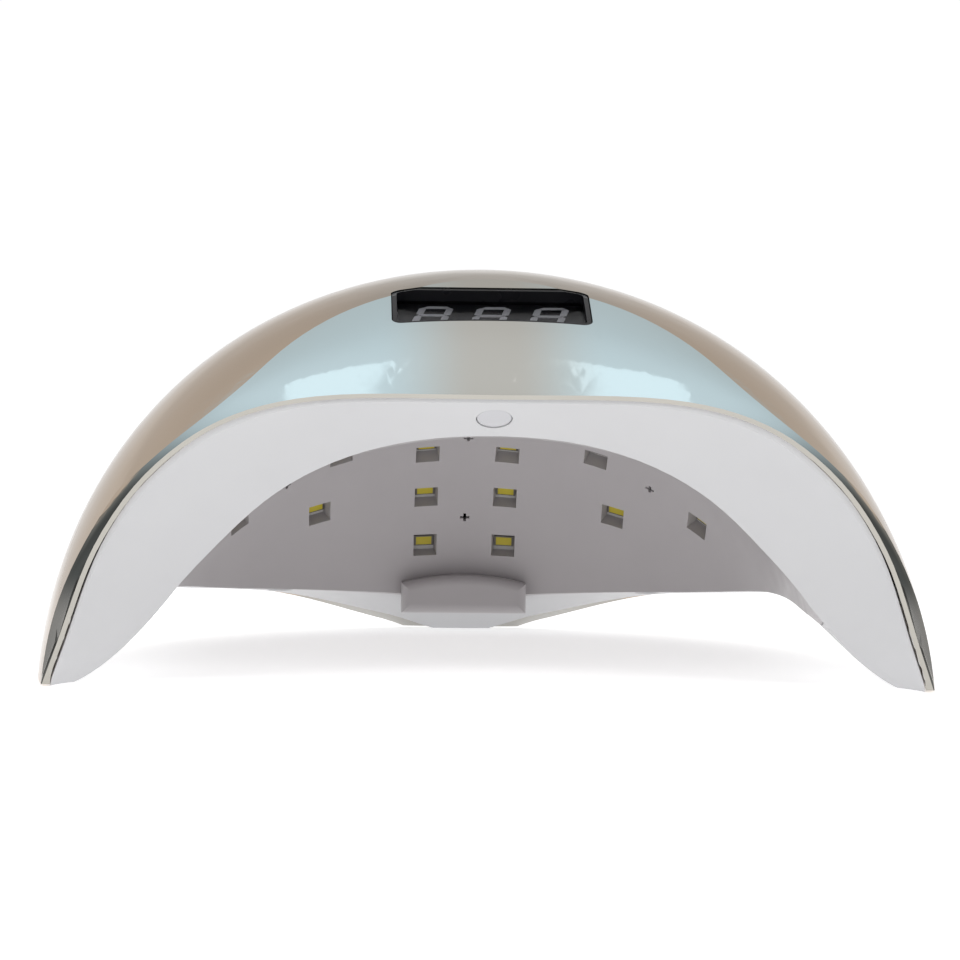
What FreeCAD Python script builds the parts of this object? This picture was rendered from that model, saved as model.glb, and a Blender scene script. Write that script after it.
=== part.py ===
import FreeCAD, Part
import math
import os
from FreeCAD import Vector

# Desk-top UV curing lamp: a plated shell over a white frame and a white reflector with 24 light sources.
# Millimetres. X runs across the lamp, +Y from the hand opening towards the back, +Z up.
# The origin is on the table, in the middle of the lamp's width and length.

# ---------------------------------------------------------------- the plated dome
HALF_WIDTH = 111.3       # widest, on the dome's axis
FRONT_Y = -104.5         # tip of the visor's lip
POLE_Y = 104.85          # back end of the dome, below the table
AXIS_Z = -8.0            # the dome's long axis
CROWN_HEIGHT = 110.2     # crown above the axis
CROWN_Y = -22.0
WIDEST_Y = -36.0
FRONT_REACH = 148.0      # semi-axis from the crown forwards
FRONT_SPREAD = 212.0     # semi-axis of the plan from the widest place forwards
PLAN_POWER = 2.2         # above 2 squares the plan off towards the back
SECTION_SWELL = 0.009    # fills the section out a little at 45 degrees
SHELL_WALL = 2.2

# ---------------------------------------------------------------- the visor band and the opening
LIP_Z = 70.7             # height of the lip in the middle
RAKE = 0.1768            # the opening leans back this much per millimetre going down
LIP_ARCH = [(0, 70.4), (26, 70.5), (41, 69.8), (52.3, 68.0), (62.6, 64.7), (70, 60.9), (77.4, 55.4),
            (83.6, 49.4), (88.7, 42.9), (92.5, 36.9), (96.3, 29.4), (100.1, 19), (103.8, 8.4), (106.9, 0),
            (110.6, -12)]
INNER_ARCH = [(0, 60.5), (22, 58.6), (39, 53.4), (54.5, 44.2), (65.2, 34.2), (75.3, 23.2), (81.6, 15.2),
              (87.6, 8.8), (93.5, 3.6), (99, 0), (104, -4), (109, -12)]
ARCH_STEPS = 40
BAND_RISE = 24.8         # lip to crease in the middle, outwards
BAND_RUN = 34.5          # lip to crease in the middle, backwards
FOOT_RISE = 2.6          # the same two at the feet
FOOT_RUN = 2.5
LEG_RUN = 4.0            # added to it along the shoulders, fading out down the legs
LEG_FADE_X = 84.0
LEG_FADE = 16.0
BAND_HALF = 88.0         # the tall part of the band spreads this far each side
BAND_BULGE = 0.4148      # the steep start of the band at the lip
BAND_SOFT = 0.3
BAND_SLOPE = 0.6
LIP_THIN = 0.55          # wall at the lip, as a part of the wall behind it
WALL_SLANT = 1.25        # wall thickness measured across the sloping band

# ---------------------------------------------------------------- rim and feet
RIM_Z = 13.0             # height of the rim's outer edge along the sides
RIM_TURN_Y = 55.0        # from here the rim comes down to the back foot
RIM_FOOT_Y = 101.0
REAR_EASE = 0.2          # it comes down this much less on either side of the back foot
REAR_EASE_X = 24.0
FOOT_DIP = 1.0           # the rim surface dives this far under the foot's flat
FOOT_INNER = 103.5       # the curve inside each foot starts here
FOOT_CURVE = 0.138
FOOT_POWER = 1.55
FOOT_CAP = 34.0
SIDE_TILT_WIDTH = 26.0
SIDE_TILT_RISE = 3.5
LIFT_Y = -80.0           # feet blend into the side rim from here
LIFT_RUN = 75.0
SHELL_LIFT = 0.5         # the shell's edge stands above the frame's underside

# ---------------------------------------------------------------- white frame
FRAME_WALL = 2.0
RIM_WALL = 2.6
FRAME_GAP = 0.3
FLANGE_DEPTH = 12.7      # how far the sloping front face reaches into the opening
FRAME_SETBACK = 0.6      # behind the lip

# ---------------------------------------------------------------- hand cavity (white reflector)
CAVITY_BASE_Z = 5.0
CAVITY_HEIGHT = 69.0
CAVITY_HALF = 84.0
CAVITY_BACK = 86.0
CAVITY_FRONT = 150.0
CAVITY_SPREAD = 300.0
CAVITY_POWER = 2.4
REFLECTOR_WALL = 1.8
REFLECTOR_GAP = 0.2

# ---------------------------------------------------------------- light sources
WALL_LIGHTS = [(11.3, 52.3), (11.3, 39.8), (11.3, 25.6), (35.8, 51.5), (41.8, 35.0), (64.0, 33.4)]
CEILING_LIGHTS = [(11.3, 36.0), (11.3, 8.0), (11.3, -24.0), (37.0, 16.0), (37.0, -24.0), (60.0, -4.0)]
WINDOW = 6.6             # square mouth of each light well
WELL_FLOOR = 5.9
WELL_DEPTH = 3.8
BOSS = 9.2
CARRIER = 8.8
CARRIER_T = 1.0
PACKAGE = (5.7, 3.0, 0.8)
PHOSPHOR = (4.5, 2.4, 0.12)
VENTS = [(0.0, 33.8), (0.0, 57.0), (51.0, 43.3), (-51.0, 43.3)]
VENT_SPAN = 2.7
VENT_SLOT = 0.8

# ---------------------------------------------------------------- display
FACET_Y = -84.0
FACET_Z = 88.3
FACET_ANGLE = 22.3
WINDOW_W = 48.6
WINDOW_L = 21.8
WINDOW_R = 2.6
TRAY_GAP = 0.25
TRAY_WALL = 1.1
TRAY_DEPTH = 6.5
FACE_ANGLE = 18.5
FACE_DEPTH = 3.6
LENS_T = 0.8
MODULE_T = 7.0
DIGIT_H = 14.2
DIGIT_W = 8.4
DIGIT_PITCH = 14.2
DIGIT_SLANT = 11.0
STROKE = 1.7
SEGMENT_T = 0.15

# ---------------------------------------------------------------- buttons and control board
BUTTONS = [("10s", -27.0), ("30s", -9.0), ("60s", 9.0), ("99s", 27.0)]
BUTTON_Y = 2.0
BUTTON_R = 5.4
BUTTON_GAP = 0.3
BUTTON_PROUD = 0.5
BUTTON_SKIRT_R = 6.4
BOARD_TOP = 82.6
BOARD_T = 1.6
BOARD_HALF_X = 43.0
BOARD_Y0 = -50.0
BOARD_Y1 = 15.0
BOARD_POSTS = [(-38.0, -46.0), (38.0, -46.0), (-36.0, 8.0), (36.0, 8.0)]
POST_HOLE = 4.2
POST_R = 3.4
SWITCH = 6.0
SWITCH_H = 3.4
PLUNGER_R = 1.6
PLUNGER_RISE = 0.8

# ---------------------------------------------------------------- hand sensor, mains inlet, screws
SENSOR_R = 4.2
SENSOR_T = 2.2
JACK_Z = 17.0
JACK_W = 9.0
JACK_H = 9.4
JACK_Y0 = 89.6
JACK_Y1 = 96.6
JACK_BORE_R = 2.8
JACK_PIN_R = 1.0
JACK_HOLE_R = 4.6
BUMP_HALF = 18.0
BUMP_Y = 77.0
BUMP_Z0 = 6.0
BUMP_SIDE_Z = 14.6
BUMP_TOP_Z = 17.0
SCREW_SPOTS = [(53.0, 77.0), (-53.0, 77.0), (94.0, -22.0), (-94.0, -22.0)]
RECESS_R = 3.7
RECESS_DEPTH = 2.2
SCREW_R = 1.4
HEAD_R = 2.8
SCREW_POST_R = 4.2
SCREW_REACH = 7.0

BIG = 140.0


# ================================================================ general helpers
def root(value):
    return math.sqrt(max(0.0, value))


def smooth(t):
    t = max(0.0, min(1.0, t))
    return t * t * (3.0 - 2.0 * t)


def grid_surface(rows):
    surface = Part.BSplineSurface()
    surface.interpolate([[Vector(*p) for p in row] for row in rows])
    return surface


def close_up(faces):
    shell = Part.makeShell(faces)
    shell.sewShape()
    solid = Part.Solid(shell)
    if solid.Volume < 0:
        solid.reverse()
    return solid


def borders(surface):
    """The four edges of a surface patch: first row, last row, first column, last column."""
    u0, u1, v0, v1 = surface.bounds()
    return [c.toShape() for c in (surface.uIso(u0), surface.uIso(u1), surface.vIso(v0), surface.vIso(v1))]


def vault_solid(rows):
    """The space under a vault whose arches all stand on one level."""
    surface = grid_surface(rows)
    first, last, side_a, side_b = borders(surface)
    front_line = Part.makeLine(Vector(*rows[0][0]), Vector(*rows[0][-1]))
    back_line = Part.makeLine(Vector(*rows[-1][0]), Vector(*rows[-1][-1]))
    front = Part.Face(Part.Wire([first, front_line]))
    back = Part.Face(Part.Wire([last, back_line]))
    floor = Part.Face(Part.Wire([side_a, back_line, side_b, front_line]))
    return close_up([surface.toShape(), front, back, floor])


def plate_solid(low, high):
    """A curved plate between two grids of points."""
    under = grid_surface(low)
    over = grid_surface(high)
    sides = [Part.makeRuledSurface(a, b) for a, b in zip(borders(under), borders(over))]
    return close_up([under.toShape(), over.toShape()] + sides)


def box(x0, x1, y0, y1, z0, z1):
    return Part.makeBox(x1 - x0, y1 - y0, z1 - z0, Vector(x0, y0, z0))


def centred_box(w, d, z0, z1):
    return box(-w / 2, w / 2, -d / 2, d / 2, z0, z1)


def rod(x, y, z0, z1, r):
    return Part.makeCylinder(r, z1 - z0, Vector(x, y, z0))


def frustum(size0, size1, z0, z1):
    """A square well whose mouth and floor differ in size."""
    wires = []
    for size, z in ((size0, z0), (size1, z1)):
        h = size / 2
        wires.append(Part.makePolygon([Vector(-h, -h, z), Vector(h, -h, z), Vector(h, h, z),
                                       Vector(-h, h, z), Vector(-h, -h, z)]))
    return Part.makeLoft(wires, True, True)


def rounded_plate(w, d, r, z0, z1):
    plate = centred_box(w, d, z0, z1)
    uprights = [e for e in plate.Edges if abs(e.tangentAt(e.FirstParameter).z) > 0.9]
    return plate.makeFillet(r, uprights)


def placed(shape, origin, x_axis, z_axis):
    """A copy of a shape drawn in its own frame, set at a place with its own X and Z directions."""
    y_axis = z_axis.cross(x_axis)
    turn = FreeCAD.Rotation(x_axis, y_axis, z_axis, "ZXY")
    copy = shape.copy()
    copy.Placement = FreeCAD.Placement(origin, turn)
    return copy


def join(shapes):
    return shapes[0].fuse(shapes[1:]) if len(shapes) > 1 else shapes[0]


def save(name, shape):
    shape.exportStep("parts/" + name + ".step")


# ================================================================ form of the dome and the band
def dome_rows(inset):
    back_reach = POLE_Y - inset - CROWN_Y
    rows = []
    for k in range(29):
        angle = math.radians(-50.0 + 138.6 * k / 28)
        reach = FRONT_REACH if angle < 0 else back_reach
        y = CROWN_Y + reach * math.sin(angle)
        high = (CROWN_HEIGHT - inset) * math.cos(angle)
        if y < WIDEST_Y:
            half = (HALF_WIDTH - inset) * root(1 - ((y - WIDEST_Y) / FRONT_SPREAD) ** 2)
        else:
            along = (y - WIDEST_Y) / (POLE_Y - inset - WIDEST_Y)
            half = (HALF_WIDTH - inset) * root(1 - along ** PLAN_POWER)
        row = []
        for j in range(33):
            turn = math.pi * j / 32
            pull = 1 + SECTION_SWELL * math.sin(2 * turn) ** 2
            row.append((half * math.cos(turn) * pull, y, AXIS_Z + high * math.sin(turn) * pull))
        rows.append(row)
    return rows


def arch(half):
    """Points with outward normals along a whole arch, from the right foot over to the left."""
    points = [Vector(x, 0, z) for x, z in reversed(half)] + [Vector(-x, 0, z) for x, z in half[1:]]
    curve = Part.BSplineCurve()
    curve.interpolate(points)
    result = []
    for k in range(ARCH_STEPS + 1):
        where = curve.parameterAtDistance(curve.length() * k / ARCH_STEPS, curve.FirstParameter)
        p = curve.value(where)
        t = curve.tangent(where)[0]
        result.append((p.x, p.z, t.z, -t.x))
    return result


def opening_y(z):
    """The raked plane of the lip."""
    return FRONT_Y + (LIP_Z - z) * RAKE


LIP = arch(LIP_ARCH)
INNER = arch(INNER_ARCH)


def band_rows(inset, lift):
    rows = []
    for k in range(17):
        t = -0.15 + 2.15 * k / 16
        profile = BAND_SLOPE * t + BAND_BULGE * (1 - math.exp(-t / BAND_SOFT))
        row = []
        for x, z, nx, nz in LIP:
            middle = 1 - smooth(abs(x) / BAND_HALF)
            out = (FOOT_RISE + (BAND_RISE - FOOT_RISE) * middle) * profile
            leg = LEG_RUN * (1 - smooth((abs(x) - LEG_FADE_X) / LEG_FADE))
            back = (FOOT_RUN + leg + (BAND_RUN - FOOT_RUN - LEG_RUN) * middle) * t
            wall = inset * (LIP_THIN + (WALL_SLANT - LIP_THIN) * smooth(t / 0.4))
            out = out - wall + lift
            row.append((x + nx * out, opening_y(z) + back, z + nz * out))
        rows.append(row)
    return rows


def facet_point(x, along, up):
    """A point given in the display facet: across, up the slope, and out of it."""
    a = math.radians(FACET_ANGLE)
    return Vector(x, FACET_Y + along * math.cos(a) - up * math.sin(a),
                  FACET_Z + along * math.sin(a) + up * math.cos(a))


def above_facet(inset):
    slope = math.radians(FACET_ANGLE)
    tool = box(-60, 60, -60, 60, -inset, 60)
    return placed(tool, facet_point(0, 0, 0), Vector(1, 0, 0), Vector(0, -math.sin(slope), math.cos(slope)))


def casing(inset):
    """The whole outer form, or a smaller one nested inside it."""
    form = vault_solid(dome_rows(inset))
    form = form.cut(plate_solid(band_rows(inset, 0), band_rows(inset, 60)))
    return form.cut(above_facet(inset))


def ahead_of_opening(setback):
    """Everything in front of a plane parallel to the opening."""
    lean = math.atan(RAKE)
    tool = box(-BIG, BIG, -BIG, 0, -BIG, BIG)
    y_axis = Vector(0, math.cos(lean), math.sin(lean))
    return placed(tool, Vector(0, FRONT_Y + setback, LIP_Z), Vector(1, 0, 0),
                  Vector(1, 0, 0).cross(y_axis))


# ================================================================ the underside
def rim_z(x, y):
    foot = FOOT_CURVE * max(0.0, FOOT_INNER - abs(x)) ** FOOT_POWER
    foot = foot / (1 + (foot / FOOT_CAP) ** 6) ** (1 / 6) - FOOT_DIP
    drop = max(0.0, (y - RIM_TURN_Y) / (RIM_FOOT_Y - RIM_TURN_Y)) ** 4
    drop = drop * (1 - REAR_EASE * smooth(abs(x) / REAR_EASE_X))
    fade = 1 - smooth((y - 20) / 60)
    side = RIM_Z * (1 - drop) + SIDE_TILT_RISE * fade * smooth((HALF_WIDTH - abs(x)) / SIDE_TILT_WIDTH)
    blend = smooth((y - LIFT_Y) / LIFT_RUN)
    return foot * (1 - blend) + side * blend


def rim_face(lift):
    rows = []
    for k in range(45):
        y = -138.0 + 256.0 * k / 44
        rows.append([(x, y, rim_z(x, y) + lift) for x in [-130.0 + 260.0 * j / 48 for j in range(49)]])
    return grid_surface(rows).toShape()


def under_table(lift):
    return box(-BIG, BIG, -BIG, BIG, -80, lift)


def below_rim(lift):
    return [rim_face(lift).extrude(Vector(0, 0, -80)), under_table(lift)]


# ================================================================ the hand cavity
def cavity_half(y, grow):
    if y < 0:
        return (CAVITY_HALF + grow) * root(1 - (y / CAVITY_SPREAD) ** 2)
    return (CAVITY_HALF + grow) * root(1 - (y / (CAVITY_BACK + grow)) ** CAVITY_POWER)


def cavity_high(y, grow):
    reach = CAVITY_FRONT if y < 0 else CAVITY_BACK + grow
    return (CAVITY_HEIGHT + grow) * root(1 - (y / reach) ** 2)


def cavity(grow):
    rows = []
    for k in range(27):
        angle = math.radians(-52.0 + 140.6 * k / 26)
        reach = CAVITY_FRONT if angle < 0 else CAVITY_BACK + grow
        y = reach * math.sin(angle)
        half = cavity_half(y, grow)
        high = cavity_high(y, grow)
        row = []
        for j in range(33):
            turn = math.pi * j / 32
            row.append((half * math.cos(turn), y, CAVITY_BASE_Z + high * math.sin(turn)))
        rows.append(row)
    vault = vault_solid(rows)
    floor = [f for f in vault.Faces if f.BoundBox.ZLength < 0.01][0]
    return [vault, floor.extrude(Vector(0, 0, -60))]


def cavity_level(x, y, grow=0.0):
    if y >= CAVITY_BACK + grow or abs(x) >= cavity_half(y, grow):
        return 0.0
    return CAVITY_BASE_Z + cavity_high(y, grow) * root(1 - (x / cavity_half(y, grow)) ** 2)


def rim_hole(grow):
    """Everything straight above and below the line where the cavity's wall meets the rim."""
    rays = [(0.0, -116.0 + 116.0 * k / 12, 1.0, 0.0) for k in range(12)]
    rays += [(0.0, 0.0, math.cos(math.radians(7.5 * k)), math.sin(math.radians(7.5 * k))) for k in range(13)]
    side = []
    for x, y, dx, dy in rays:
        near = 0.0
        far = 125.0
        for step in range(40):
            mid = (near + far) / 2
            inside = cavity_level(x + dx * mid, y + dy * mid, grow) > rim_z(x + dx * mid, y + dy * mid)
            near, far = (mid, far) if inside else (near, mid)
        side.append(Vector(x + dx * near, y + dy * near, -60))
    points = side + [Vector(-p.x, p.y, p.z) for p in reversed(side[:-1])]
    curve = Part.BSplineCurve()
    curve.interpolate(Points=points)
    front = Part.makePolygon([points[-1], points[0]])
    return Part.Face(Part.Wire([curve.toShape()] + front.Edges)).extrude(Vector(0, 0, 160))


def cavity_depth(x, z):
    """How far back the wall is behind a place given across and up."""
    near = 0.0
    far = CAVITY_BACK - 0.01
    for step in range(40):
        mid = (near + far) / 2
        inside = cavity_level(x, mid) > z
        near, far = (mid, far) if inside else (near, mid)
    return near


def cavity_normal(x, y):
    """Outward, away from the hand."""
    step = 0.05
    slope_x = (cavity_level(x + step, y) - cavity_level(x - step, y)) / (2 * step)
    slope_y = (cavity_level(x, y + step) - cavity_level(x, y - step)) / (2 * step)
    return Vector(-slope_x, -slope_y, 1).normalize()


def wall_seat(x, z):
    y = cavity_depth(x, z)
    return Vector(x, y, z), cavity_normal(x, y)


def across(normal):
    """The level-ish direction lying in a surface with this normal."""
    x_axis = Vector(1, 0, 0)
    return (x_axis - normal * x_axis.dot(normal)).normalize()


def light_seats():
    seats = []
    for side in (-1, 1):
        for x, z in WALL_LIGHTS:
            seats.append(wall_seat(side * x, z))
        for x, y in CEILING_LIGHTS:
            seats.append((Vector(side * x, y, cavity_level(side * x, y)), cavity_normal(side * x, y)))
    return seats


SEATS = light_seats()


def at_lights(shape):
    return [placed(shape, point, across(normal), normal) for point, normal in SEATS]


# ================================================================ screw places
def screw_seats():
    return [(x, y, rim_z(x, y)) for x, y in SCREW_SPOTS]


# ================================================================ shell
def make_shell(outer, inner, lowest):
    body = outer.cut(inner)
    posts = [rod(x, y, BOARD_TOP + 0.1, 104, POST_R) for x, y in BOARD_POSTS]
    posts += [rod(x, y, z + RIM_WALL + 1.9, 90, SCREW_POST_R) for x, y, z in screw_seats()]
    body = body.fuse(join(posts).common(casing(SHELL_WALL / 2)))
    body = body.cut(ahead_of_opening(0))
    body = body.cut(join(lowest))
    holes = [rod(x, BUTTON_Y, 80, 110, BUTTON_R + BUTTON_GAP) for name, x in BUTTONS]
    holes += [rod(x, y, BOARD_TOP - 1, BOARD_TOP + POST_HOLE, SCREW_R - 0.3) for x, y in BOARD_POSTS]
    holes += [rod(x, y, z, z + SCREW_REACH, SCREW_R - 0.2) for x, y, z in screw_seats()]
    holes.append(Part.makeCylinder(JACK_HOLE_R, 20, Vector(0, JACK_Y1 - 8, JACK_Z), Vector(0, 1, 0)))
    slope = math.radians(FACET_ANGLE)
    window = rounded_plate(WINDOW_W, WINDOW_L, WINDOW_R, -20, 20)
    holes.append(placed(window, facet_point(0, WINDOW_L / 2, 0), Vector(1, 0, 0),
                        Vector(0, -math.sin(slope), math.cos(slope))))
    return body.cut(holes)


# ================================================================ white frame
def flange_rows(thick):
    rows = []
    for k in range(9):
        u = -0.12 + 1.12 * k / 8
        row = []
        for (x0, z0, nx, nz), (x1, z1, mx, mz) in zip(LIP, INNER):
            start = -(SHELL_WALL + FRAME_GAP) * LIP_THIN - FRAME_GAP / 2
            xa = x0 + nx * start
            za = z0 + nz * start
            x = xa + (x1 - xa) * u
            z = za + (z1 - za) * u
            out = Vector(nx + mx, 0, nz + mz).normalize() * thick
            row.append((x + out.x, opening_y(z + out.z) + FLANGE_DEPTH * u, z + out.z))
        rows.append(row)
    return rows


def flange_middle(u):
    """A place on the middle line of the sloping front face."""
    z0 = LIP_ARCH[0][1] - (SHELL_WALL + FRAME_GAP) * LIP_THIN - FRAME_GAP / 2
    z = z0 + (INNER_ARCH[0][1] - z0) * u
    return Vector(0, opening_y(z) + FLANGE_DEPTH * u, z)


def make_frame(room, low):
    face = plate_solid(flange_rows(0), flange_rows(FRAME_WALL + 0.4))
    funnel = plate_solid(flange_rows(-25), flange_rows(0))
    rim = rim_face(0).extrude(Vector(0, 0, RIM_WALL))
    hole = rim_hole(REFLECTOR_WALL + REFLECTOR_GAP)
    rim = rim.cut([hole, funnel, under_table(0), ahead_of_opening(FLANGE_DEPTH - 2.5)])
    body = rim.fuse(face.cut(low)).common(room)
    body = body.cut([ahead_of_opening(FRAME_SETBACK)])
    posts = [rod(x, y, z, z + RIM_WALL + 1.6, SCREW_POST_R) for x, y, z in screw_seats()]
    ribs = [box(side * (JACK_W / 2 + 1.1) - 0.8, side * (JACK_W / 2 + 1.1) + 0.8, JACK_Y0, JACK_Y1 - 1,
                2, JACK_Z - 1) for side in (-1, 1)]
    body = body.fuse(join(posts + ribs).common(room).cut(low))
    cuts = [rod(x, y, z - 6, z + RECESS_DEPTH - 0.4, RECESS_R) for x, y, z in screw_seats()]
    cuts += [rod(x, y, z - 2, z + 8, SCREW_R + 0.15) for x, y, z in screw_seats()]
    a, b = flange_middle(0.2), flange_middle(0.8)
    inward = Vector(1, 0, 0).cross(b - a).normalize()
    cuts.append(Part.makeCylinder(SENSOR_R + 0.15, 12, flange_middle(0.5) - inward * 6, inward))
    return body.cut(cuts)


# ================================================================ reflector
def make_reflector(low, hollow):
    body = join(cavity(REFLECTOR_WALL))
    body = body.cut(hollow + low + [ahead_of_opening(FLANGE_DEPTH + REFLECTOR_GAP)])
    body = body.fuse(at_lights(centred_box(BOSS, BOSS, 0.7, WELL_DEPTH)))
    wells = at_lights(frustum(WINDOW + 0.3, WELL_FLOOR, -1.0, WELL_DEPTH + 0.2))
    for x, z in VENTS:
        point, normal = wall_seat(x, z)
        for w, d in ((VENT_SPAN, VENT_SLOT), (VENT_SLOT, VENT_SPAN)):
            wells.append(placed(centred_box(w, d, -2, 4), point, across(normal), normal))
    body = body.cut(wells)
    return body.cut(bump(REFLECTOR_WALL)).fuse(bump(0).cut(bump(REFLECTOR_WALL)).common(join(cavity(0.9))))


def bump(inset):
    """The housing that stands out of the back wall behind the power inlet."""
    half = BUMP_HALF - inset
    low = BUMP_Z0 + inset
    side = BUMP_SIDE_Z - inset
    top = BUMP_TOP_Z - inset
    arc = Part.Arc(Vector(half, 0, side), Vector(0, 0, top), Vector(-half, 0, side)).toShape()
    rest = Part.makePolygon([Vector(-half, 0, side), Vector(-half, 0, low), Vector(half, 0, low),
                             Vector(half, 0, side)])
    block = Part.Face(Part.Wire([arc] + rest.Edges)).extrude(Vector(0, 20, 0))
    block.translate(Vector(0, BUMP_Y + inset, 0))
    front = [e for e in block.Edges if e.BoundBox.YMax < BUMP_Y + inset + 0.01]
    return block.makeFillet(2.6 - inset * 0.6, front)


# ================================================================ display
def facet_frame(shape, along, up):
    slope = math.radians(FACET_ANGLE)
    return placed(shape, facet_point(0, along, up), Vector(1, 0, 0),
                  Vector(0, -math.sin(slope), math.cos(slope)))


def face_frame(shape):
    slope = math.radians(FACE_ANGLE)
    return placed(shape, facet_point(0, WINDOW_L / 2, -FACE_DEPTH), Vector(1, 0, 0),
                  Vector(0, -math.sin(slope), math.cos(slope)))


def segment(length, upright):
    """One lit bar of a digit, pointed at both ends."""
    a = length / 2
    b = STROKE / 2
    outline = [(-a, 0), (-a + b, b), (a - b, b), (a, 0), (a - b, -b), (-a + b, -b), (-a, 0)]
    if upright:
        outline = [(y, x) for x, y in outline]
    return outline


def digit(x0):
    lean = math.tan(math.radians(DIGIT_SLANT))
    wide = DIGIT_W - STROKE
    tall = (DIGIT_H - STROKE) / 2
    bars = [(0, y, segment(wide - 0.4, False)) for y in (-tall, 0, tall)]
    bars += [(x, y, segment(tall - 0.4, True)) for x in (-wide / 2, wide / 2) for y in (-tall / 2, tall / 2)]
    solids = []
    for cx, cy, outline in bars:
        points = [Vector(x0 + cx + x + (cy + y) * lean, cy + y, 0) for x, y in outline]
        solids.append(Part.Face(Part.makePolygon(points)).extrude(Vector(0, 0, SEGMENT_T)))
    return solids


def make_display(room):
    tray_w = WINDOW_W - 2 * TRAY_GAP
    tray_l = WINDOW_L - 2 * TRAY_GAP
    tray = rounded_plate(tray_w, tray_l, WINDOW_R - TRAY_GAP, -TRAY_DEPTH, 4)
    bore = rounded_plate(tray_w - 2 * TRAY_WALL, tray_l - 2 * TRAY_WALL, WINDOW_R - TRAY_WALL, -30, 10)
    tray = facet_frame(tray.cut(bore), WINDOW_L / 2, 0).common(room)
    flange = rounded_plate(tray_w + 6, tray_l + 6, 3, -TRAY_DEPTH - 1.2, -TRAY_DEPTH)
    tray = tray.fuse(facet_frame(flange.cut(bore), WINDOW_L / 2, 0).common(casing(SHELL_WALL + 0.3)))
    inside_w = tray_w - 2 * TRAY_WALL - 0.3
    inside_l = tray_l - 2 * TRAY_WALL - 0.3
    bore_set = facet_frame(rounded_plate(inside_w, inside_l, 1.2, -30, 10), WINDOW_L / 2, 0)
    lens = face_frame(centred_box(60, 40, SEGMENT_T + 0.15, SEGMENT_T + 0.15 + LENS_T)).common(bore_set)
    module = face_frame(centred_box(60, 40, -MODULE_T, 0)).common(bore_set)
    bars = []
    for n in (-1, 0, 1):
        bars += digit(n * DIGIT_PITCH)
    save("display_tray", tray)
    save("display_lens", lens)
    save("display_module", module)
    save("display_segments", face_frame(Part.makeCompound(bars)))


# ================================================================ buttons and control board
def make_controls():
    proud = vault_solid(dome_rows(-BUTTON_PROUD))
    board = box(-BOARD_HALF_X, BOARD_HALF_X, BOARD_Y0, BOARD_Y1, BOARD_TOP - BOARD_T, BOARD_TOP)
    board = board.cut([rod(x, y, 70, 90, 1.7) for x, y in BOARD_POSTS])
    switches = []
    for name, x in BUTTONS:
        rest = BOARD_TOP + SWITCH_H + PLUNGER_RISE
        cap = rod(x, BUTTON_Y, 90, 110, BUTTON_R).common(proud)
        cap = cap.fuse([rod(x, BUTTON_Y, 90, 91.2, BUTTON_SKIRT_R), rod(x, BUTTON_Y, rest, 90.5, 1.8)])
        save("button_" + name, cap)
        plunger = rod(x, BUTTON_Y, BOARD_TOP + 1.6, rest, PLUNGER_R)
        save("plunger_" + name, plunger)
        body = box(x - SWITCH / 2, x + SWITCH / 2, BUTTON_Y - SWITCH / 2, BUTTON_Y + SWITCH / 2,
                   BOARD_TOP, BOARD_TOP + SWITCH_H)
        switches.append(body.cut(rod(x, BUTTON_Y, BOARD_TOP + 0.8, 95, PLUNGER_R + 0.25)))
    save("control_board", board)
    save("button_switches", Part.makeCompound(switches))
    chip = box(-5.5, 5.5, -30, -22, BOARD_TOP, BOARD_TOP + 1.4)
    legs = [box(side * 6.3 - 0.8, side * 6.3 + 0.8, y - 0.2, y + 0.2, BOARD_TOP, BOARD_TOP + 0.4)
            for side in (-1, 1) for y in [-29 + 1.0 * k for k in range(7)]]
    save("control_chip", chip)
    save("chip_leads", Part.makeCompound([leg.cut(chip) for leg in legs]))
    coil = rod(24, -28, BOARD_TOP, BOARD_TOP + 5, 5)
    driver = [coil, box(12, 17, -31, -25, BOARD_TOP, BOARD_TOP + 1.6)]
    driver += [rod(-24, y, BOARD_TOP, BOARD_TOP + 6.5, 3.1) for y in (-33, -24)]
    save("driver_parts", Part.makeCompound(driver))
    screws = []
    for x, y in BOARD_POSTS:
        low = BOARD_TOP - BOARD_T
        head = rod(x, y, low - 1.6, low, 2.6)
        screws.append(rod(x, y, low, low + BOARD_T + POST_HOLE - 0.4, SCREW_R - 0.32).fuse(head))
    save("board_screws", Part.makeCompound(screws))


# ================================================================ sensor, inlet, screws
def make_sensor():
    a, b = flange_middle(0.2), flange_middle(0.8)
    inward = Vector(1, 0, 0).cross(b - a).normalize()
    centre = flange_middle(0.5)
    window = Part.makeCylinder(SENSOR_R, SENSOR_T, Vector(0, 0, 0.15))
    window = window.makeFillet(0.35, [e for e in window.Edges if e.BoundBox.ZMax < 0.2])
    save("sensor_window", placed(window, centre, Vector(1, 0, 0), inward))
    board = centred_box(15, 7, 5.4, 6.4)
    save("sensor_board", placed(board, centre, Vector(1, 0, 0), inward))
    for name, x in (("sensor_emitter", -2.2), ("sensor_receiver", 2.2)):
        bulb = rod(x, 0, 3.9, 5.2, 1.3).fuse(Part.makeSphere(1.3, Vector(x, 0, 3.9)))
        save(name, placed(bulb, centre, Vector(1, 0, 0), inward))


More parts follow.
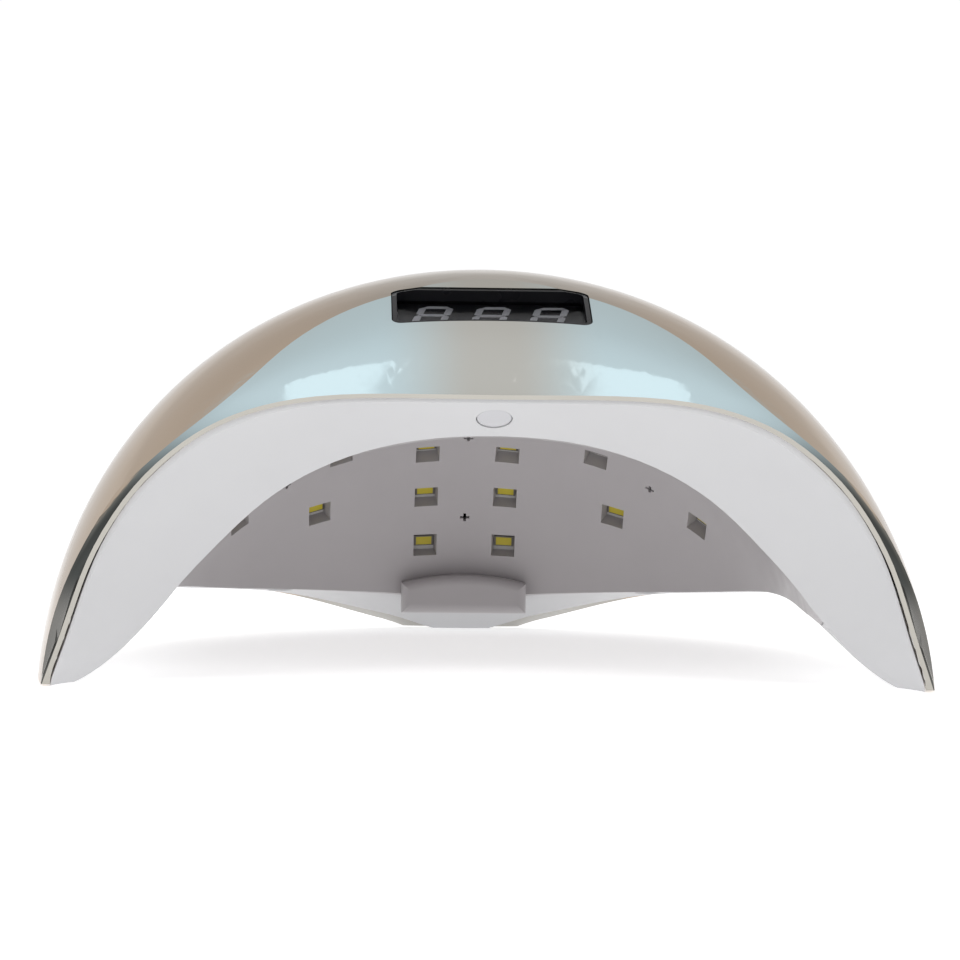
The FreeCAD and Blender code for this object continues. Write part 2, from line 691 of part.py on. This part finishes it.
def make_inlet():
    back = Vector(0, 1, 0)
    body = box(-JACK_W / 2, JACK_W / 2, JACK_Y0, JACK_Y1, JACK_Z - JACK_H / 2, JACK_Z + JACK_H / 2)
    nose = Part.makeCylinder(JACK_HOLE_R - 0.3, 5.2, Vector(0, JACK_Y1 - 1.0, JACK_Z), back)
    bore = Part.makeCylinder(JACK_BORE_R, 20, Vector(0, JACK_Y0 + 1.4, JACK_Z), back)
    slot = box(-1.2, 1.2, JACK_Y0 + 2.4, JACK_Y1 - 1.4, JACK_Z - JACK_H / 2 - 1, JACK_Z)
    save("inlet_body", body.fuse(nose).cut([bore, slot]))
    pin = Part.makeCylinder(JACK_PIN_R, JACK_Y1 - JACK_Y0 + 1.4, Vector(0, JACK_Y0 + 1.4, JACK_Z), back)
    save("inlet_pin", pin.makeFillet(0.5, [e for e in pin.Edges if e.BoundBox.YMin > JACK_Y1 - 1]))
    under = JACK_Z - JACK_BORE_R - 0.4
    save("inlet_contact", box(-1.0, 1.0, JACK_Y0 + 2.6, JACK_Y1 - 1.6, under - 0.5, under))
    board = box(-9, 9, JACK_Y0 - 1.8, JACK_Y0 - 0.2, JACK_Z - 2, JACK_Z + 5.3)
    save("inlet_board", board)


def make_screws():
    screws = []
    for x, y, z in screw_seats():
        seat = z + RECESS_DEPTH - 0.4
        head = rod(x, y, seat - 1.4, seat, HEAD_R)
        cross = [box(x - a, x + a, y - b, y + b, seat - 2, seat - 0.7) for a, b in ((1.5, 0.3), (0.3, 1.5))]
        screws.append(head.fuse(rod(x, y, seat - 0.2, z + SCREW_REACH - 0.4, SCREW_R - 0.22)).cut(cross))
    save("case_screws", Part.makeCompound(screws))


def make_lights():
    carrier = centred_box(CARRIER, CARRIER, WELL_DEPTH, WELL_DEPTH + CARRIER_T)
    save("light_carriers", Part.makeCompound(at_lights(carrier)))
    w, d, t = PACKAGE
    package = centred_box(w, d, WELL_DEPTH - t, WELL_DEPTH)
    pw, pd, pt = PHOSPHOR
    phosphor = centred_box(pw, pd, WELL_DEPTH - t, WELL_DEPTH - t + pt)
    save("light_packages", Part.makeCompound(at_lights(package.cut(phosphor))))
    save("light_phosphors", Part.makeCompound(at_lights(phosphor)))


# ================================================================ build
os.makedirs("parts", exist_ok=True)
LOW = below_rim(0)
HOLLOW = cavity(0)
ROOM = casing(SHELL_WALL + FRAME_GAP)
save("top_shell", make_shell(casing(0), casing(SHELL_WALL), below_rim(SHELL_LIFT)))
save("inner_frame", make_frame(ROOM, LOW))
save("reflector", make_reflector(LOW, HOLLOW))
make_lights()
make_display(casing(0.3))
make_controls()
make_sensor()
make_inlet()
make_screws()
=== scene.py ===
import math

import bpy
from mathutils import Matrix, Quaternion, Vector

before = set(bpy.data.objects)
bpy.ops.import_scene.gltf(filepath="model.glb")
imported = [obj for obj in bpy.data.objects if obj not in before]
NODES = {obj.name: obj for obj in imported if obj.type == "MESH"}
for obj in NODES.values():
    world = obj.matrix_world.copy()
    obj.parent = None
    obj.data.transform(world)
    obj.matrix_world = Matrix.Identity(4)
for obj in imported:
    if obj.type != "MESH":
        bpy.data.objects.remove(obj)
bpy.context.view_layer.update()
BUTTONS = ("10s", "30s", "60s", "99s")

# ------------------------------------------------------------------ camera
CAMERA_REACH = 0.900        # camera to the lamp's origin, level
CAMERA_HEIGHT = 0.0758
YAW = math.radians(2.4)     # the camera stands this far round to the lamp's left
AIM = math.radians(0.06)
PITCH = math.radians(1.825)
ROLL = math.radians(0.65)
LENS = 127.1
SENSOR = 36.0
NEAR = 0.01
FAR = 20.0


def make_camera():
    data = bpy.data.cameras.new("camera")
    data.lens = LENS
    data.sensor_width = SENSOR
    data.clip_start = NEAR
    data.clip_end = FAR
    camera = bpy.data.objects.new("camera", data)
    bpy.context.collection.objects.link(camera)
    camera.location = (-CAMERA_REACH * math.sin(YAW), -CAMERA_REACH * math.cos(YAW), CAMERA_HEIGHT)
    heading = YAW + AIM
    level = math.cos(PITCH)
    looking = Vector((math.sin(heading) * level, math.cos(heading) * level, -math.sin(PITCH)))
    camera.rotation_mode = "QUATERNION"
    camera.rotation_quaternion = looking.to_track_quat("-Z", "Y") @ Quaternion((0, 0, 1), ROLL)
    bpy.context.scene.camera = camera


make_camera()
bpy.context.scene.view_settings.view_transform = "Standard"

# ------------------------------------------------------------------ node helpers
# A noise node's values lie mostly between these two.
NOISE_LOW = 0.3
NOISE_HIGH = 0.7


class Nodes:
    """A node tree with short ways to add and join nodes."""

    def __init__(self, tree):
        self.tree = tree

    def add(self, kind, **settings):
        node = self.tree.nodes.new(kind)
        for key, value in settings.items():
            setattr(node, key, value)
        return node

    def join(self, out, socket):
        self.tree.links.new(out, socket)

    def axes(self, vector):
        node = self.add("ShaderNodeSeparateXYZ")
        self.join(vector, node.inputs["Vector"])
        return node.outputs

    def magnitude(self, value):
        node = self.add("ShaderNodeMath", operation="ABSOLUTE")
        self.join(value, node.inputs[0])
        return node.outputs["Value"]

    def span(self, value, low, high, new_low, new_high, soft=False):
        """The value's range low to high, carried over to the new range."""
        node = self.add("ShaderNodeMapRange", interpolation_type="SMOOTHSTEP" if soft else "LINEAR")
        for key, number in (("From Min", low), ("From Max", high), ("To Min", new_low), ("To Max", new_high)):
            node.inputs[key].default_value = number
        self.join(value, node.inputs["Value"])
        return node.outputs["Result"]

    def rise(self, value, low, high):
        """From 0 at the low value smoothly up to 1 at the high one."""
        return self.span(value, low, high, 0.0, 1.0, soft=True)

    def fall(self, value, low, high):
        return self.span(value, low, high, 1.0, 0.0, soft=True)


class Shader(Nodes):
    """A material and its Principled shader."""

    def __init__(self, name):
        self.material = bpy.data.materials.new(name)
        self.material.use_nodes = True
        super().__init__(self.material.node_tree)
        self.bsdf = self.tree.nodes["Principled BSDF"]
        self.place = self.add("ShaderNodeTexCoord").outputs["Object"]

    def set(self, **values):
        for key, value in values.items():
            self.bsdf.inputs[key.replace("_", " ")].default_value = value

    def feed(self, key, out):
        self.join(out, self.bsdf.inputs[key])

    def noise(self, scale, detail=3.0, stretch=None):
        node = self.add("ShaderNodeTexNoise")
        node.inputs["Scale"].default_value = scale
        node.inputs["Detail"].default_value = detail
        where = self.place
        if stretch:
            mapping = self.add("ShaderNodeMapping")
            mapping.inputs["Scale"].default_value = stretch
            self.join(self.place, mapping.inputs["Vector"])
            where = mapping.outputs["Vector"]
        self.join(where, node.inputs["Vector"])
        return node.outputs["Fac"]

    def blend(self, amount, a, b):
        node = self.add("ShaderNodeMix", data_type="RGBA")
        self.join(amount, node.inputs["Factor"])
        for name, value in (("A", a), ("B", b)):
            socket = [s for s in node.inputs if s.name == name and s.type == "RGBA"][0]
            if isinstance(value, tuple):
                socket.default_value = value + (1.0,)
            else:
                self.join(value, socket)
        return [s for s in node.outputs if s.type == "RGBA"][0]

    def mottle(self, scale, colours, stretch=None):
        """Two close colours in soft patches."""
        return self.blend(self.noise(scale, stretch=stretch), *colours)

    def gloss(self, scale, detail, low, high):
        """Roughness that wanders between two values."""
        self.feed("Roughness", self.span(self.noise(scale, detail), NOISE_LOW, NOISE_HIGH, low, high))

    def bump(self, height, strength, distance):
        node = self.add("ShaderNodeBump")
        node.inputs["Strength"].default_value = strength
        node.inputs["Distance"].default_value = distance
        self.join(height, node.inputs["Height"])
        self.feed("Normal", node.outputs["Normal"])


def dress(material, *nodes):
    for name in nodes:
        slots = NODES[name].data.materials
        slots.clear()
        slots.append(material)


# ------------------------------------------------------------------ moulded plastic and metal
MOTTLE = 45.0               # patches per metre
GLOSS_MOTTLE = 3 * MOTTLE
SPARK_GRAIN = 2600.0
METAL_GRAIN = 1500.0
GRAIN_STRENGTH = 0.35
GRAIN_DEPTH = 0.00002


def moulded(name, colour, shade, rough, grain=SPARK_GRAIN, spread=0.06):
    """Moulded plastic: a fine spark-eroded grain and a faint mottle in colour and gloss."""
    s = Shader(name)
    s.feed("Base Color", s.blend(s.noise(MOTTLE, 4.0), colour, shade))
    s.gloss(GLOSS_MOTTLE, 3.0, rough - spread, rough + spread)
    s.bump(s.noise(grain, 2.0), GRAIN_STRENGTH, GRAIN_DEPTH)
    return s


def metal(name, colour, shade, rough):
    s = moulded(name, colour, shade, rough, grain=METAL_GRAIN)
    s.set(Metallic=1.0)
    return s


# ------------------------------------------------------------------ plated shell
# Which way a surface faces, as the front-to-back part of its normal (-1 is straight forward).
BAND_FACING = (-0.40, -0.30)
# Facing of a painted dark line (painted shade) just above the lip, standing for the dark reflection there.
PAINTED_DARK_LINE_FACING = (-0.865, -0.825)
LIP_FACING = (-0.95, -0.90)
# Where one colour passes into the next, in metres from the middle or above the table.
DOME_MIDDLE = (0.010, 0.050)
BAND_MIDDLE = (0.004, 0.028)
FOOT_HEIGHT = (0.016, 0.028)
LEG_HEIGHT = (0.045, 0.070)

# These base colours are partly the plating's own tint and partly painted reflection: the dome's grey middle
# and warm sides, the band's champagne middle and blue sides and the silver lip stand in for the studio
# mirrored in the shell.
WARM = ((0.66, 0.545, 0.44), (0.61, 0.515, 0.42))
GREY = ((0.50, 0.49, 0.46), (0.46, 0.45, 0.425))
BLUE = ((0.60, 0.73, 0.78), (0.56, 0.70, 0.74))
CHAMPAGNE = ((0.55, 0.55, 0.52), (0.52, 0.51, 0.47))
# Painted reflection on the legs and feet: a dark colour on the legs for the dark cards beside the lamp
# mirrored in them, a pale one on the feet for their brighter reflection low down.
LEG_PAINTED_DARK_REFLECTION = ((0.17, 0.18, 0.175), (0.13, 0.14, 0.135))
FOOT_PAINTED_PALE_REFLECTION = ((0.52, 0.51, 0.49), (0.46, 0.45, 0.43))
SILVER = ((0.47, 0.45, 0.41), (0.40, 0.385, 0.35))
# Colour of the painted dark line above the lip: painted shade.
SHADOW = ((0.10, 0.10, 0.095), (0.07, 0.07, 0.065))
EDGE_TINT = (0.62, 0.58, 0.54, 1.0)


def plated(name):
    """Thin bright plating over plastic: warm on the dome, cool on the front band, silver on its lip; these
    tints are partly the plating's own and partly painted reflection of the studio, with painted reflection on
    the legs and feet and a painted dark line above the lip.
    """
    s = Shader(name)
    facing = s.axes(s.add("ShaderNodeNewGeometry").outputs["True Normal"])["Y"]
    place = s.axes(s.place)
    side = s.magnitude(place["X"])
    height = place["Z"]
    dome = s.blend(s.rise(side, *DOME_MIDDLE), s.mottle(14.0, GREY), s.mottle(14.0, WARM))
    blue = s.blend(s.noise(9.0, stretch=(1.0, 1.0, 5.0)), *BLUE)
    middle = s.blend(s.rise(side, *BAND_MIDDLE), s.blend(s.noise(30.0, 2.0), *CHAMPAGNE), blue)
    # Painted reflection: pale on the feet, dark on the legs above them.
    painted_leg_reflection = s.blend(s.rise(height, *FOOT_HEIGHT), s.mottle(16.0, FOOT_PAINTED_PALE_REFLECTION), s.mottle(16.0, LEG_PAINTED_DARK_REFLECTION))
    band = s.blend(s.rise(height, *LEG_HEIGHT), painted_leg_reflection, middle)
    # Painted shade: a dark line along the band just above the lip.
    with_painted_dark_line = s.blend(s.fall(facing, *PAINTED_DARK_LINE_FACING), band, s.blend(s.noise(40.0, 2.0), *SHADOW))
    front = s.blend(s.fall(facing, *LIP_FACING), with_painted_dark_line, s.blend(s.noise(40.0, 2.0), *SILVER))
    s.feed("Base Color", s.blend(s.fall(facing, *BAND_FACING), dome, front))
    s.gloss(900.0, 4.0, 0.07, 0.11)
    s.set(Metallic=1.0, Specular_Tint=EDGE_TINT)
    s.bump(s.noise(1800.0, 2.0), 0.05, 0.00001)
    return s


# ------------------------------------------------------------------ every node's material
dress(plated("plated_shell").material, "top_shell")
dress(moulded("white_frame", (0.60, 0.60, 0.61), (0.57, 0.57, 0.582), 0.48).material, "inner_frame")
dress(moulded("white_reflector", (0.45, 0.43, 0.437), (0.42, 0.40, 0.408), 0.42).material, "reflector")

tray = moulded("black_tray", (0.008, 0.008, 0.010), (0.012, 0.012, 0.014), 0.30, spread=0.05)
tray.set(Specular_IOR_Level=0.15)
dress(tray.material, "display_tray")
lens = moulded("smoked_lens", (0.62, 0.62, 0.64), (0.56, 0.56, 0.58), 0.05, spread=0.02)
lens.set(Transmission_Weight=1.0, IOR=1.06, Specular_IOR_Level=0.0)
dress(lens.material, "display_lens")
module = moulded("module_black", (0.006, 0.006, 0.008), (0.010, 0.010, 0.012), 0.45)
module.set(Specular_IOR_Level=0.1)
dress(module.material, "display_module")
bars = moulded("segment_grey", (0.62, 0.63, 0.64), (0.52, 0.53, 0.54), 0.5)
dress(bars.material, "display_segments")

green = moulded("board_green", (0.02, 0.14, 0.06), (0.015, 0.11, 0.05), 0.35)
dress(green.material, "control_board", "sensor_board", "inlet_board")
dark = moulded("dark_parts", (0.02, 0.02, 0.02), (0.03, 0.03, 0.03), 0.45)
dress(dark.material, "control_chip", "driver_parts", "button_switches", "inlet_body")
dress(dark.material, *["plunger_" + n for n in BUTTONS])
tin = metal("tin", (0.70, 0.70, 0.70), (0.60, 0.60, 0.62), 0.3)
dress(tin.material, "chip_leads", "inlet_pin")
zinc = metal("zinc", (0.62, 0.62, 0.64), (0.52, 0.52, 0.54), 0.32)
dress(zinc.material, "board_screws", "case_screws")
dress(metal("brass", (0.75, 0.58, 0.28), (0.66, 0.50, 0.22), 0.3).material, "inlet_contact")
caps = metal("cap_plating", (0.50, 0.48, 0.45), (0.46, 0.44, 0.41), 0.16)
dress(caps.material, *["button_" + n for n in BUTTONS])

dress(moulded("sensor_grey", (0.56, 0.56, 0.58), (0.52, 0.52, 0.54), 0.5).material, "sensor_window")
bulb = moulded("bulb_clear", (0.8, 0.82, 0.88), (0.75, 0.78, 0.84), 0.08, spread=0.03)
bulb.set(Transmission_Weight=1.0)
dress(bulb.material, "sensor_emitter")
smoked = moulded("bulb_dark", (0.03, 0.02, 0.03), (0.02, 0.015, 0.02), 0.12, spread=0.03)
dress(smoked.material, "sensor_receiver")

dress(moulded("carrier_white", (0.62, 0.61, 0.60), (0.56, 0.55, 0.54), 0.5).material, "light_carriers")
# The white LED packages are coloured almost black: painted shade of the recesses they sit in.
dress(moulded("package_white", (0.10, 0.09, 0.08), (0.16, 0.15, 0.13), 0.4).material, "light_packages")
yellow = moulded("phosphor_yellow", (0.62, 0.52, 0.03), (0.52, 0.42, 0.02), 0.4)
dress(yellow.material, "light_phosphors")

# ------------------------------------------------------------------ floor
HALF_FLOOR = 6.0
FLOOR_COLOURS = ((0.93, 0.93, 0.93), (0.91, 0.91, 0.91))
FLOOR_GLOW = 0.52           # lifts the soft shadow under the lamp


def make_floor():
    mesh = bpy.data.meshes.new("floor")
    corners = [(-HALF_FLOOR, -HALF_FLOOR, 0), (HALF_FLOOR, -HALF_FLOOR, 0),
               (HALF_FLOOR, HALF_FLOOR, 0), (-HALF_FLOOR, HALF_FLOOR, 0)]
    mesh.from_pydata(corners, [], [(0, 1, 2, 3)])
    floor = bpy.data.objects.new("floor", mesh)
    bpy.context.collection.objects.link(floor)
    s = Shader("floor_pale")
    s.feed("Base Color", s.mottle(3.0, FLOOR_COLOURS))
    s.set(Roughness=0.9, Specular_IOR_Level=0.0)
    s.set(Emission_Color=(1.0, 1.0, 1.0, 1.0), Emission_Strength=FLOOR_GLOW)
    floor.data.materials.append(s.material)


make_floor()

# ------------------------------------------------------------------ world
WORLD_STRENGTH = 1.02
# How bright the studio is at each height of a direction: 0 is level, 1 is straight up.
SKY = [(0.0, 1.0), (0.17, 1.0), (0.25, 0.86), (0.45, 0.76), (0.75, 0.80), (1.0, 0.86)]


def make_world():
    """A pale studio, darker in front of the lamp and with dark cards to its left and right."""
    world = bpy.data.worlds.new("studio")
    bpy.context.scene.world = world
    world.use_nodes = True
    w = Nodes(world.node_tree)
    unit = w.add("ShaderNodeVectorMath", operation="NORMALIZE")
    w.join(w.add("ShaderNodeTexCoord").outputs["Generated"], unit.inputs[0])
    direction = w.axes(unit.outputs["Vector"])
    ramp = w.add("ShaderNodeValToRGB")
    w.join(direction["Z"], ramp.inputs["Fac"])
    ramp.color_ramp.interpolation = "EASE"
    while len(ramp.color_ramp.elements) < len(SKY):
        ramp.color_ramp.elements.new(0.5)
    for element, (at, level) in zip(ramp.color_ramp.elements, SKY):
        element.position = at
        element.color = (level, level, level, 1.0)
    dimming = w.add("ShaderNodeMath", operation="MULTIPLY")
    w.join(w.span(direction["Y"], -0.42, -0.30, 0.16, 1.0, soft=True), dimming.inputs[0])
    w.join(w.span(w.magnitude(direction["X"]), 0.62, 0.90, 1.0, 0.45, soft=True), dimming.inputs[1])
    scaled = w.add("ShaderNodeVectorMath", operation="SCALE")
    w.join(ramp.outputs["Color"], scaled.inputs[0])
    w.join(dimming.outputs["Value"], scaled.inputs["Scale"])
    background = world.node_tree.nodes["Background"]
    w.join(scaled.outputs["Vector"], background.inputs["Color"])
    background.inputs["Strength"].default_value = WORLD_STRENGTH


make_world()

# ------------------------------------------------------------------ lights
KEY_AIM = (0.0, 0.0, 0.05)
OVERHEAD = 1.4              # height of the two boxes whose reflections lie on the front band


def softbox(name, at, towards, width, height, power, colour=(1.0, 1.0, 1.0)):
    data = bpy.data.lights.new(name, "AREA")
    data.shape = "RECTANGLE"
    data.size = width
    data.size_y = height
    data.energy = power
    data.color = colour
    lamp = bpy.data.objects.new(name, data)
    bpy.context.collection.objects.link(lamp)
    lamp.location = at
    lamp.rotation_mode = "QUATERNION"
    lamp.rotation_quaternion = (Vector(towards) - Vector(at)).to_track_quat("-Z", "Y")


softbox("key_left", (-0.9, -1.1, 0.9), KEY_AIM, 0.7, 0.5, 6.5)
softbox("key_right", (0.9, -1.1, 0.9), KEY_AIM, 0.7, 0.5, 6.5)
for name, x, y, width, height, power, colour in (
        ("top_left", -0.22, -0.22, 0.34, 0.66, 0.225, (0.95, 1.0, 1.0)),
        ("top_right", 0.28, -0.24, 0.30, 0.64, 0.195, (0.95, 0.99, 1.0))):
    softbox(name, (x, y, OVERHEAD), (x, y, 0.0), width, height, power, colour)
